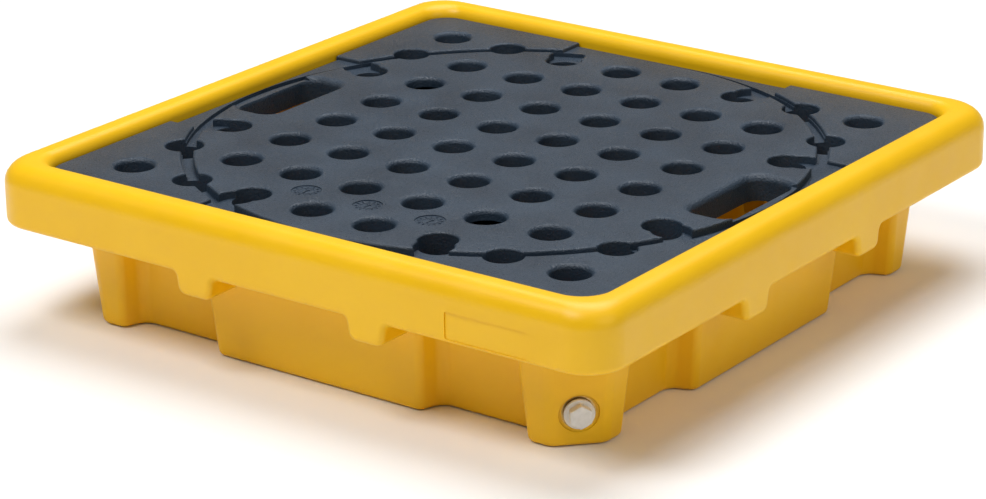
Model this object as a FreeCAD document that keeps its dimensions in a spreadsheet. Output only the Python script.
import FreeCAD, Part
import math
import os
import re
import Sketcher

# Spill containment pallet for one standard 200 litre drum.
# A hollow moulded tray with a rounded rim, four corner feet and a tapered block on each side
# carries one lift-out deck. A flanged hex plug closes the drain in the front right foot.
# Frame: origin at the middle of the base, on the floor. +Z is up, the drain is towards (+X, -Y).

SIZES = [
    # tray: outside, rim and the form of the sump
    ("tray_width", 680), ("tray_height", 156), ("rim_bottom", 97), ("rim_corner", 35),
    ("rim_round", 17), ("rim_inner_round", 13), ("skin_thick", 5), ("draft_angle", 5.5),
    ("foot_reach", 288), ("foot_chamfer", 35), ("foot_inner", 229), ("foot_root", 221),
    ("block_half", 115), ("block_root", 123), ("recess_reach", 265), ("base_round", 5),
    ("corner_round", 8), ("root_round", 13), ("inner_sharp", 4), ("notch_over", 40),
    # lugs under the rim, posts in the sump and the plain panel on the rim
    ("lug_centre", 96), ("lug_half", 18), ("lug_spread", 4), ("lug_bottom", 76),
    ("lug_round", 6), ("lug_depth", 46),
    ("post_place", 140), ("post_foot", 40), ("post_head", 25),
    ("panel_left", 182), ("panel_right", 267), ("panel_bottom", 101), ("panel_top", 126),
    ("panel_sink", 1.2), ("shelf_gap", 1),
    # deck
    ("deck_top", 145), ("deck_width", 609), ("deck_corner", 25), ("deck_depth", 25),
    ("deck_gap", 2), ("deck_skin", 6), ("step_down", 4), ("step_bevel", 2),
    ("disc_radius", 292), ("arc_radius", 305), ("strip_half", 127),
    ("hole_pitch", 70), ("hole_radius", 18), ("hole_bevel", 4), ("hole_wall", 4),
    ("rib_thick", 4), ("rib_depth", 10), ("edge_wall", 5), ("ring_gap", 1), ("ring_wall", 5),
    ("grip_centre", 261), ("grip_half", 23), ("grip_end", 59), ("grip_corner", 16),
    ("grip_bevel", 4), ("grip_land", 0.2), ("skin_overlap", 1),
    ("dial_row", 210), ("dial_radius", 14), ("dial_sink", 0.8),
    # drain
    ("drain_height", 31.5), ("seat_reach", 383), ("seat_radius", 18), ("boss_radius", 21),
    ("insert_radius", 15), ("insert_length", 18), ("bore_radius", 10.5),
    ("plug_radius", 10.45), ("plug_length", 14), ("plug_core", 6.5), ("plug_core_depth", 10),
    ("flange_radius", 13.5), ("flange_thick", 3), ("flange_round", 0.8), ("hex_flats", 19),
    ("hex_depth", 8), ("hex_round", 1), ("seal_radius", 13), ("seal_hole", 10.7), ("seal_thick", 2),
    # how far a cutter runs past the face that it cuts
    ("cut_over", 10),
]
NEAR = 1e-3

doc = FreeCAD.newDocument("spill_pallet")
sheet = doc.addObject("Spreadsheet::Sheet", "Sizes")
for row, (name, size) in enumerate(SIZES, start=1):
    sheet.set("A%d" % row, name)
    sheet.set("B%d" % row, str(size))
    sheet.setAlias("B%d" % row, name)
doc.recompute()


# ---- helpers ----------------------------------------------------------------------------------

def sized(text):
    """An expression with each of the sheet's names, all of which hold a _, pointed at the sheet."""
    return re.sub(r"\b([a-z]+_[a-z_]+)\b", r"Sizes.\1", str(text))


def number(text):
    return float(sheet.evalExpression(sized(text)))


def bind(item, **links):
    for prop, text in links.items():
        item.setExpression(prop.replace("__", "."), sized(text))


def new_body(label):
    body = doc.addObject("PartDesign::Body", label)
    body.Label = label
    doc.recompute()
    return body


def new_sketch(body, name, role, x="0", y="0", z="0"):
    """A sketch on one of the body's own origin planes, moved by x, y and z in the plane's frame."""
    sketch = body.newObject("Sketcher::SketchObject", name)
    plane = [item for item in body.Origin.OriginFeatures if item.Role == role][0]
    sketch.AttachmentSupport = (plane, [""])
    sketch.MapMode = "FlatFace"
    bind(sketch, AttachmentOffset__Base__x=x, AttachmentOffset__Base__y=y, AttachmentOffset__Base__z=z)
    return sketch


def fix_point(sketch, piece, end, x, y):
    """Bind one point of a sketch to two expressions, or to an axis where one is zero."""
    for kind, text, axis in (("DistanceX", x, -2), ("DistanceY", y, -1)):
        size = number(text)
        if abs(size) < NEAR:
            sketch.addConstraint(Sketcher.Constraint("PointOnObject", piece, end, axis))
        else:
            mark = sketch.addConstraint(Sketcher.Constraint(kind, -1, 1, piece, end, size))
            sketch.setExpression("Constraints[%d]" % mark, sized(text))


def outline(sketch, corners):
    """A closed outline of straight lines whose corners are bound to the sheet."""
    points = [FreeCAD.Vector(number(x), number(y), 0) for x, y in corners]
    first = sketch.GeometryCount
    for start, end in zip(points, points[1:] + points[:1]):
        sketch.addGeometry(Part.LineSegment(start, end), False)
    for step, (x, y) in enumerate(corners):
        following = first + (step + 1) % len(corners)
        sketch.addConstraint(Sketcher.Constraint("Coincident", first + step, 2, following, 1))
        fix_point(sketch, first + step, 1, x, y)


def circle(sketch, radius, x="0", y="0"):
    centre = FreeCAD.Vector(number(x), number(y), 0)
    place = sketch.addGeometry(Part.Circle(centre, FreeCAD.Vector(0, 0, 1), number(radius)), False)
    fix_point(sketch, place, 3, x, y)
    mark = sketch.addConstraint(Sketcher.Constraint("Radius", place, number(radius)))
    sketch.setExpression("Constraints[%d]" % mark, sized(radius))


def rectangle(left, right, low, high):
    return [(left, low), (right, low), (right, high), (left, high)]


def square(half):
    return rectangle("-(%s)" % half, half, "-(%s)" % half, half)


def pad(body, sketch, length, draft=None, down=False):
    feature = body.newObject("PartDesign::Pad", sketch.Name + "_pad")
    feature.Profile = sketch
    feature.Reversed = down
    bind(feature, Length=length)
    if draft:
        bind(feature, TaperAngle=draft)
    doc.recompute()
    return feature


def check_cut(body, feature, before):
    doc.recompute()
    if not body.Shape.Volume < before - 1:
        raise RuntimeError(feature.Name + " cuts nothing")
    return feature


def pocket(body, sketch, length, draft=None, up=False):
    before = body.Shape.Volume
    feature = body.newObject("PartDesign::Pocket", sketch.Name + "_pocket")
    feature.Profile = sketch
    feature.Reversed = up
    bind(feature, Length=length)
    if draft:
        bind(feature, TaperAngle=draft)
    return check_cut(body, feature, before)


def soften(body, radius, wanted, kind="PartDesign::Fillet", prop="Radius"):
    """Round, or chamfer, the edges of the body's last feature that a test picks out."""
    base = body.Tip
    names = ["Edge%d" % place for place, edge in enumerate(base.Shape.Edges, start=1) if wanted(edge)]
    feature = body.newObject(kind, base.Name + "_soft")
    feature.Base = (base, names)
    bind(feature, **{prop: radius})
    doc.recompute()
    if "Invalid" in feature.State or "Error" in feature.State or not feature.Shape.isValid():
        raise RuntimeError("%s can't round %d edges" % (feature.Name, len(names)))
    return feature


def bevel(body, size, wanted):
    return soften(body, size, wanted, kind="PartDesign::Chamfer", prop="Size")


def repeat(body, originals, kind, **settings):
    feature = body.newObject("PartDesign::" + kind, originals[0].Name + "_" + kind)
    feature.Originals = originals
    for prop, value in settings.items():
        setattr(feature, prop, value)
    body.Tip = feature
    doc.recompute()
    return feature


def origin_item(body, role):
    return ([item for item in body.Origin.OriginFeatures if item.Role == role][0], [""])


def level(edge, height):
    """Whether an edge lies flat at a height."""
    return abs(edge.BoundBox.ZMin - height) < NEAR and abs(edge.BoundBox.ZMax - height) < NEAR


def upright(edge):
    rise = edge.BoundBox.ZMax - edge.BoundBox.ZMin
    return rise > 2 and rise > 0.9 * edge.Length


def square_corners(half):
    """A test for the upright edges at the corners of a square about the origin."""
    corner = number(half)

    def test(edge):
        spot = edge.CenterOfMass
        return upright(edge) and abs(abs(spot.x) - corner) < NEAR and abs(abs(spot.y) - corner) < NEAR
    return test


def combine(kind, name, *items):
    """A Part boolean of other objects."""
    feature = doc.addObject("Part::" + kind, name)
    if kind == "Cut":
        feature.Base, feature.Tool = items
    else:
        feature.Shapes = list(items)
    doc.recompute()
    return feature


# ---- sump tray --------------------------------------------------------------------------------

def sump_form(label, gap, start, height, sharp, hollow):
    """The tapered form of the sump: a chamfered square with eight shallow recesses.

    gap is how far the form stands inside the outer skin where it starts, and sharp and hollow
    are the rounding of its outward and inward corners. It leans outwards with the mould's draft.
    """
    body = new_body(label)
    reach = "(foot_reach - %s)" % gap
    turn = "(foot_reach - foot_chamfer - 0.414 * %s)" % gap
    base = new_sketch(body, label + "_base", "XY_Plane", z=start)
    outline(base, [("-" + turn, "-" + reach), (turn, "-" + reach), (reach, "-" + turn), (reach, turn),
                   (turn, reach), ("-" + turn, reach), ("-" + reach, turn), ("-" + reach, "-" + turn)])
    pad(body, base, height, draft="draft_angle")
    # Each recess has a sloped end at the block and one at the foot; both lines run on outwards.
    slope = "((block_root - block_half) / (foot_reach - recess_reach))"
    outside = "(foot_reach + notch_over)"
    spread = "(notch_over * %s + %s * sqrt(1 + %s^2))" % (slope, gap, slope)
    deepen = "(%s * (sqrt(1 + %s^2) - %s))" % (gap, slope, slope)
    notch = new_sketch(body, label + "_notch", "XY_Plane", z=start)
    for side in ("", "-"):
        wall = "-(recess_reach - %s)" % gap
        outline(notch, [(side + "(block_half - %s)" % spread, "-" + outside),
                        (side + "(foot_inner + %s)" % spread, "-" + outside),
                        (side + "(foot_root + %s)" % deepen, wall),
                        (side + "(block_root - %s)" % deepen, wall)])
    cut = pocket(body, notch, height, draft="-draft_angle", up=True)
    repeat(body, [cut], "PolarPattern", Axis=origin_item(body, "Z_Axis"), Angle=360, Occurrences=4)
    floor = number(start)
    lean = number("(%s) / 2 * tan(draft_angle)" % height)

    def stands_at(distance):
        """Tests for upright edges whose middle is this far out, measured at the form's foot."""
        def test(edge):
            spot = edge.valueAt((edge.FirstParameter + edge.LastParameter) / 2)
            return upright(edge) and abs(max(abs(spot.x), abs(spot.y)) - lean - distance) < 1
        return test

    soften(body, hollow, stands_at(number("recess_reach - %s" % gap)))
    soften(body, sharp, stands_at(number(reach)))
    soften(body, "base_round", lambda edge: level(edge, floor))
    return body


def rim_form():
    """The rim as a solid block with the deck's recess and the eight lugs under it."""
    body = new_body("rim_form")
    plan = new_sketch(body, "rim_plan", "XY_Plane", z="rim_bottom")
    outline(plan, square("tray_width / 2"))
    pad(body, plan, "tray_height - rim_bottom")
    soften(body, "rim_corner", upright)
    lugs = new_sketch(body, "rim_lugs", "XZ_Plane", z="tray_width / 2")
    for side in ("", "-"):
        root = "rim_bottom + skin_thick"
        outline(lugs, [(side + "(lug_centre - lug_half)", "lug_bottom"),
                       (side + "(lug_centre + lug_half)", "lug_bottom"),
                       (side + "(lug_centre + lug_half + lug_spread)", root),
                       (side + "(lug_centre - lug_half - lug_spread)", root)])
    block = pad(body, lugs, "lug_depth", down=True)
    repeat(body, [block], "PolarPattern", Axis=origin_item(body, "Z_Axis"), Angle=360, Occurrences=4)
    low = number("lug_bottom")
    depth = number("lug_depth")
    soften(body, "lug_round", lambda edge: level(edge, low) and abs(edge.Length - depth) < 0.1)
    recess = new_sketch(body, "deck_recess", "XY_Plane", z="deck_top - deck_depth")
    outline(recess, square("deck_width / 2 + deck_gap"))
    pocket(body, recess, "tray_height", up=True)
    soften(body, "deck_corner + deck_gap", square_corners("deck_width / 2 + deck_gap"))
    top = number("tray_height")
    opening = number("deck_width / 2 + deck_gap")

    def is_outer(edge):
        spot = edge.CenterOfMass
        return max(abs(spot.x), abs(spot.y)) > opening + NEAR

    soften(body, "rim_round", lambda edge: level(edge, top) and is_outer(edge))
    soften(body, "rim_inner_round", lambda edge: level(edge, top))
    return body


def rim_void():
    """The sealed hollow inside the rim."""
    body = new_body("rim_void")
    plan = new_sketch(body, "void_plan", "XY_Plane", z="rim_bottom + skin_thick")
    outline(plan, square("tray_width / 2 - skin_thick"))
    pad(body, plan, "tray_height - rim_bottom - 2 * skin_thick")
    soften(body, "rim_corner - skin_thick", upright)
    top = number("tray_height - skin_thick")
    soften(body, "rim_round - skin_thick", lambda edge: level(edge, top))
    ledge = "(deck_top - deck_depth - skin_thick)"
    for name, height, half in (
            ("void_shelf", "rim_bottom", "(deck_width / 2 - shelf_gap)"),
            ("void_bead", ledge, "(deck_width / 2 + deck_gap + skin_thick)")):
        sketch = new_sketch(body, name, "XY_Plane", z=height)
        outline(sketch, square(half))
        pocket(body, sketch, "tray_height", up=True)
        soften(body, "deck_corner + skin_thick", square_corners(half))
    return body


def drain_cylinder(name, radius, start, length):
    """A cylinder on the drain's axis; start and length are measured outwards from the seat."""
    item = doc.addObject("Part::Cylinder", name)
    bind(item, Radius=radius, Height=length)
    place_on_drain(item, start)
    return item


def place_on_drain(item, start="0"):
    """Turn a piece's own +Z outwards along the drain and set it on the axis."""
    item.Placement = FreeCAD.Placement(FreeCAD.Vector(), FreeCAD.Rotation(
        FreeCAD.Vector(0, 0, 1), FreeCAD.Vector(1, -1, 0)))
    bind(item, Placement__Base__x="(seat_reach + %s) / sqrt(2)" % start,
         Placement__Base__y="-(seat_reach + %s) / sqrt(2)" % start,
         Placement__Base__z="drain_height")


def post_cones(name, gap, height):
    """Four tapered posts that carry the middle of the deck."""
    cones = []
    for x in ("", "-"):
        for y in ("", "-"):
            cone = doc.addObject("Part::Cone", name + "_cone")
            bind(cone, Radius1="post_foot - " + gap, Radius2="post_head - " + gap, Height=height,
                 Placement__Base__x=x + "post_place", Placement__Base__y=y + "post_place")
            cones.append(cone)
    return combine("MultiFuse", name, *cones)


def make_sump_tray():
    outer = sump_form("sump_outer", "0", "0", "deck_top - deck_depth", "corner_round", "root_round")
    inner_gap = "(skin_thick - skin_thick * tan(draft_angle))"
    core = sump_form("sump_core", inner_gap, "skin_thick", "deck_top - deck_depth",
                     "corner_round - inner_sharp", "root_round + skin_thick")
    shell = combine("MultiFuse", "tray_blank", outer, rim_form())
    shell = combine("Cut", "tray_hollow", shell, core)
    boss = drain_cylinder("drain_boss", "boss_radius", "-insert_length", "insert_length")
    posts = post_cones("posts", "0", "deck_top - deck_depth")
    shell = combine("MultiFuse", "tray_with_posts", shell, posts, boss)
    panel = doc.addObject("Part::Box", "panel_sink")
    bind(panel, Length="panel_right - panel_left", Width="panel_sink + cut_over",
         Height="panel_top - panel_bottom", Placement__Base__x="panel_left",
         Placement__Base__y="-tray_width / 2 - cut_over", Placement__Base__z="panel_bottom")
    cutters = combine("MultiFuse", "tray_cutters",
                      post_cones("post_hollows", "skin_thick", "deck_top - deck_depth - skin_thick"),
                      rim_void(), panel,
                      drain_cylinder("seat_cut", "seat_radius", "0", "2 * cut_over"),
                      drain_cylinder("insert_cut", "insert_radius", "-insert_length - skin_thick",
                                     "insert_length + skin_thick + cut_over"))
    tray = combine("Cut", "sump_tray", shell, cutters)
    tray.Label = "sump_tray"
    return tray


# ---- drain pieces -----------------------------------------------------------------------------

def turned(body, name, corners):
    """A turned solid about the body's own Z axis, from its half section in (radius, height)."""
    sketch = new_sketch(body, name, "XZ_Plane")
    outline(sketch, corners)
    feature = body.newObject("PartDesign::Revolution", name + "_turn")
    feature.Profile = sketch
    feature.ReferenceAxis = (sketch, ["V_Axis"])
    feature.Angle = 360
    doc.recompute()
    return feature


def make_drain_insert():
    body = new_body("drain_insert")
    turned(body, "insert_section", rectangle("bore_radius", "insert_radius", "-insert_length", "0"))
    place_on_drain(body)
    return body


def make_plug_seal():
    body = new_body("plug_seal")
    turned(body, "seal_section", rectangle("seal_hole", "seal_radius", "0", "seal_thick"))
    place_on_drain(body)
    return body


def make_drain_plug():
    body = new_body("drain_plug")
    top = "(seal_thick + flange_thick)"
    turned(body, "plug_section", [
        ("0", "plug_core_depth - plug_length"), ("plug_core", "plug_core_depth - plug_length"),
        ("plug_core", "-plug_length"), ("plug_radius - 1", "-plug_length"),
        ("plug_radius", "1 - plug_length"), ("plug_radius", "seal_thick"),
        ("flange_radius", "seal_thick"), ("flange_radius", top), ("0", top)])
    rim = number(top)
    soften(body, "flange_round", lambda edge: level(edge, rim))
    head = new_sketch(body, "plug_head", "XY_Plane", z=top)
    corner = "hex_flats / sqrt(3)"
    outline(head, [("-hex_flats / 2", "-%s / 2" % corner), ("0", "-" + corner),
                   ("hex_flats / 2", "-%s / 2" % corner), ("hex_flats / 2", "%s / 2" % corner),
                   ("0", corner), ("-hex_flats / 2", "%s / 2" % corner)])
    pad(body, head, "hex_depth")
    face = number(top + " + hex_depth")
    soften(body, "hex_round", lambda edge: level(edge, face)
           or (upright(edge) and edge.BoundBox.ZMin > rim - NEAR))
    place_on_drain(body)
    return body


# ---- deck -------------------------------------------------------------------------------------

def hole_cutter(in_channel):
    """What one drain hole removes: a bore, with a bevelled mouth if it isn't in the drum channel."""
    radius = number("hole_radius")
    over = number("deck_top + cut_over")
    under = number("deck_top - deck_depth - cut_over")
    mouth = [(radius, over)]
    if not in_channel:
        wide = radius + number("hole_bevel")
        mouth = [(radius, number("deck_top - hole_bevel")), (wide, number("deck_top")), (wide, over)]
    line = [(0, over), (0, under), (radius, under), *mouth, (0, over)]
    section = Part.Face(Part.makePolygon([FreeCAD.Vector(x, 0, z) for x, z in line]))
    return section.revolve(FreeCAD.Vector(), FreeCAD.Vector(0, 0, 1), 360)


def hole_places():
    """Every hole of the eight by eight grid, in pitches, without the four that the hand slots take."""
    steps = [step - 3.5 for step in range(8)]
    return [(x, y) for x in steps for y in steps if not (abs(x) == 3.5 and abs(y) == 0.5)]


def hole_shapes(name, shapes_at):
    """One object holding a shape at every hole of the deck."""
    item = doc.addObject("Part::Feature", name)
    pitch = number("hole_pitch")
    copies = []
    for x, y in hole_places():
        in_channel = sorted((abs(x), abs(y))) == [2.5, 3.5]
        copies.append(shapes_at(in_channel).translated(FreeCAD.Vector(x * pitch, y * pitch, 0)))
    item.Shape = Part.Compound(copies)
    return item


def hole_tubes():
    tube = Part.makeCylinder(number("hole_radius + hole_wall"),
                             number("deck_depth - step_down - skin_overlap"),
                             FreeCAD.Vector(0, 0, number("deck_top - deck_depth")))
    return hole_shapes("hole_tubes", lambda in_channel: tube)


def hole_bores():
    bores = {in_channel: hole_cutter(in_channel) for in_channel in (False, True)}
    return hole_shapes("hole_bores", bores.get)


def grip_cutter():
    """What a hand slot removes: a rounded slot with a bevelled mouth on the low and the high level."""
    body = new_body("grip_cutter")
    under = "deck_top - deck_depth - cut_over"
    centre = number("grip_centre")
    inner = None
    for name, start, grow, bend in (
            ("grip_slot", under, "0", None),
            ("grip_low_mouth", "deck_top - step_down", "(grip_bevel + grip_land)", "grip_bevel"),
            ("grip_high_mouth", "deck_top", "(grip_bevel + step_bevel + 2 * grip_land)", "step_bevel")):
        sketch = new_sketch(body, name, "XY_Plane", z=start)
        outline(sketch, rectangle("grip_centre - grip_half - " + grow,
                                  "grip_centre + grip_half + " + grow,
                                  "-(grip_end + %s)" % grow, "grip_end + " + grow))
        pad(body, sketch, "deck_top + cut_over - (%s)" % start)
        foot = number(start)
        wide = number("grip_half + " + grow)
        long = number("grip_end + " + grow)
        soften(body, "grip_corner + " + grow, lambda edge: upright(edge)
               and edge.BoundBox.ZMin > foot - NEAR and abs(abs(edge.CenterOfMass.y) - long) < NEAR)
        if inner:
            bevel(body, bend, lambda edge: level(edge, foot)
                  and max(abs(edge.BoundBox.XMax - centre), abs(edge.BoundBox.XMin - centre)) < inner[0]
                  and max(abs(edge.BoundBox.YMax), abs(edge.BoundBox.YMin)) < inner[1])
        inner = (wide + 0.5, long + 0.5)
    return body


def corner_pads(body):
    """The four raised pads outside the drum channel."""
    sketch = new_sketch(body, "corner_pads", "XY_Plane", z="deck_top - step_down")
    edge = "(deck_width / 2)"
    foot = "sqrt(arc_radius^2 - strip_half^2)"
    corners = [("strip_half", foot), ("strip_half", edge), (edge, edge), (edge, "strip_half"),
               (foot, "strip_half")]
    points = [FreeCAD.Vector(number(x), number(y), 0) for x, y in corners]
    for start, end in zip(points, points[1:]):
        sketch.addGeometry(Part.LineSegment(start, end), False)
    whole = Part.Circle(FreeCAD.Vector(), FreeCAD.Vector(0, 0, 1), number("arc_radius"))
    turn = math.atan2(points[-1].y, points[-1].x)
    arc = sketch.addGeometry(Part.ArcOfCircle(whole, turn, math.pi / 2 - turn), False)
    for step in range(3):
        sketch.addConstraint(Sketcher.Constraint("Coincident", step, 2, step + 1, 1))
    sketch.addConstraint(Sketcher.Constraint("Coincident", 3, 2, arc, 1))
    sketch.addConstraint(Sketcher.Constraint("Coincident", 0, 1, arc, 2))
    for step, (x, y) in enumerate(corners[:4]):
        fix_point(sketch, step, 1, x, y)
    fix_point(sketch, 3, 2, *corners[4])
    mark = sketch.addConstraint(Sketcher.Constraint("Radius", arc, number("arc_radius")))
    sketch.setExpression("Constraints[%d]" % mark, sized("arc_radius"))
    block = pad(body, sketch, "step_down")
    repeat(body, [block], "PolarPattern", Axis=origin_item(body, "Z_Axis"), Angle=360, Occurrences=4)


def make_deck():
    body = new_body("deck_blank")
    half = "deck_width / 2"
    plan = new_sketch(body, "deck_plan", "XY_Plane", z="deck_top - deck_depth")
    outline(plan, square(half))
    pad(body, plan, "deck_depth - step_down")
    corner_pads(body)
    soften(body, "deck_corner", lambda edge: upright(edge)
           and abs(abs(edge.CenterOfMass.x) - abs(edge.CenterOfMass.y)) < NEAR)
    disc = new_sketch(body, "disc_plan", "XY_Plane", z="deck_top - step_down")
    circle(disc, "disc_radius")
    pad(body, disc, "step_down")
    top = number("deck_top")
    bevel(body, "step_bevel", lambda edge: level(edge, top))
    shell = new_sketch(body, "deck_shell", "XY_Plane", z="deck_top - deck_depth")
    outline(shell, square(half + " - edge_wall"))
    pocket(body, shell, "deck_depth - step_down - deck_skin", up=True)
    reach = "(deck_width / 2 - edge_wall / 2)"
    for role, name in (("x", "ribs_along_y"), ("y", "ribs_along_x")):
        ribs = new_sketch(body, name, "XY_Plane", z="deck_top - step_down - deck_skin")
        for step in range(-3, 4):
            low = "%d * hole_pitch - rib_thick / 2" % step
            high = "%d * hole_pitch + rib_thick / 2" % step
            ends = ("-" + reach, reach)
            sides = (low, high, *ends) if role == "x" else (*ends, low, high)
            outline(ribs, rectangle(*sides))
        pad(body, ribs, "rib_depth", down=True)
    pads = new_sketch(body, "post_pads", "XY_Plane", z="deck_top - deck_depth")
    for x in ("", "-"):
        for y in ("", "-"):
            circle(pads, "post_head - ring_gap", x + "post_place", y + "post_place")
            circle(pads, "post_head - ring_gap - ring_wall", x + "post_place", y + "post_place")
    pad(body, pads, "deck_depth - step_down - skin_overlap")
    frame = new_sketch(body, "grip_frames", "XY_Plane", z="deck_top - deck_depth")
    grow = " + hole_wall"
    for side in ("", "-"):
        outline(frame, rectangle(side + "(grip_centre - grip_half - hole_wall)",
                                 side + "(grip_centre + grip_half + hole_wall)",
                                 "-(grip_end%s)" % grow, "grip_end" + grow))
    pad(body, frame, "deck_depth - step_down - skin_overlap")
    dials = new_sketch(body, "dial_sinks", "XY_Plane", z="deck_top")
    for x in ("-hole_pitch", "0", "hole_pitch"):
        circle(dials, "dial_radius", x, "-dial_row")
    pocket(body, dials, "dial_sink")
    cutter = grip_cutter()
    opposite = doc.addObject("Part::Mirroring", "grip_cutter_opposite")
    opposite.Source = cutter
    opposite.Normal = FreeCAD.Vector(1, 0, 0)
    doc.recompute()
    tubed = combine("MultiFuse", "deck_with_tubes", body, hole_tubes())
    cutters = combine("MultiFuse", "deck_cutters", hole_bores(), cutter, opposite)
    deck = combine("Cut", "deck_grate", tubed, cutters)
    deck.Label = "deck_grate"
    return deck


def check_document():
    for item in doc.Objects:
        if "Invalid" in item.State or "Error" in item.State:
            raise RuntimeError(item.Name + " failed: " + str(item.State))


def main():
    pieces = [make_sump_tray(), make_deck(), make_drain_insert(), make_plug_seal(), make_drain_plug()]
    doc.recompute()
    check_document()
    os.makedirs("parts", exist_ok=True)
    for piece in pieces:
        if piece.Shape.isNull() or not piece.Shape.isValid():
            raise RuntimeError(piece.Label + " is not a valid shape")
        piece.Shape.exportStep("parts/" + piece.Label + ".step")
        print(piece.Label, len(piece.Shape.Solids), round(piece.Shape.Volume), "mm3", piece.Shape.BoundBox)


main()
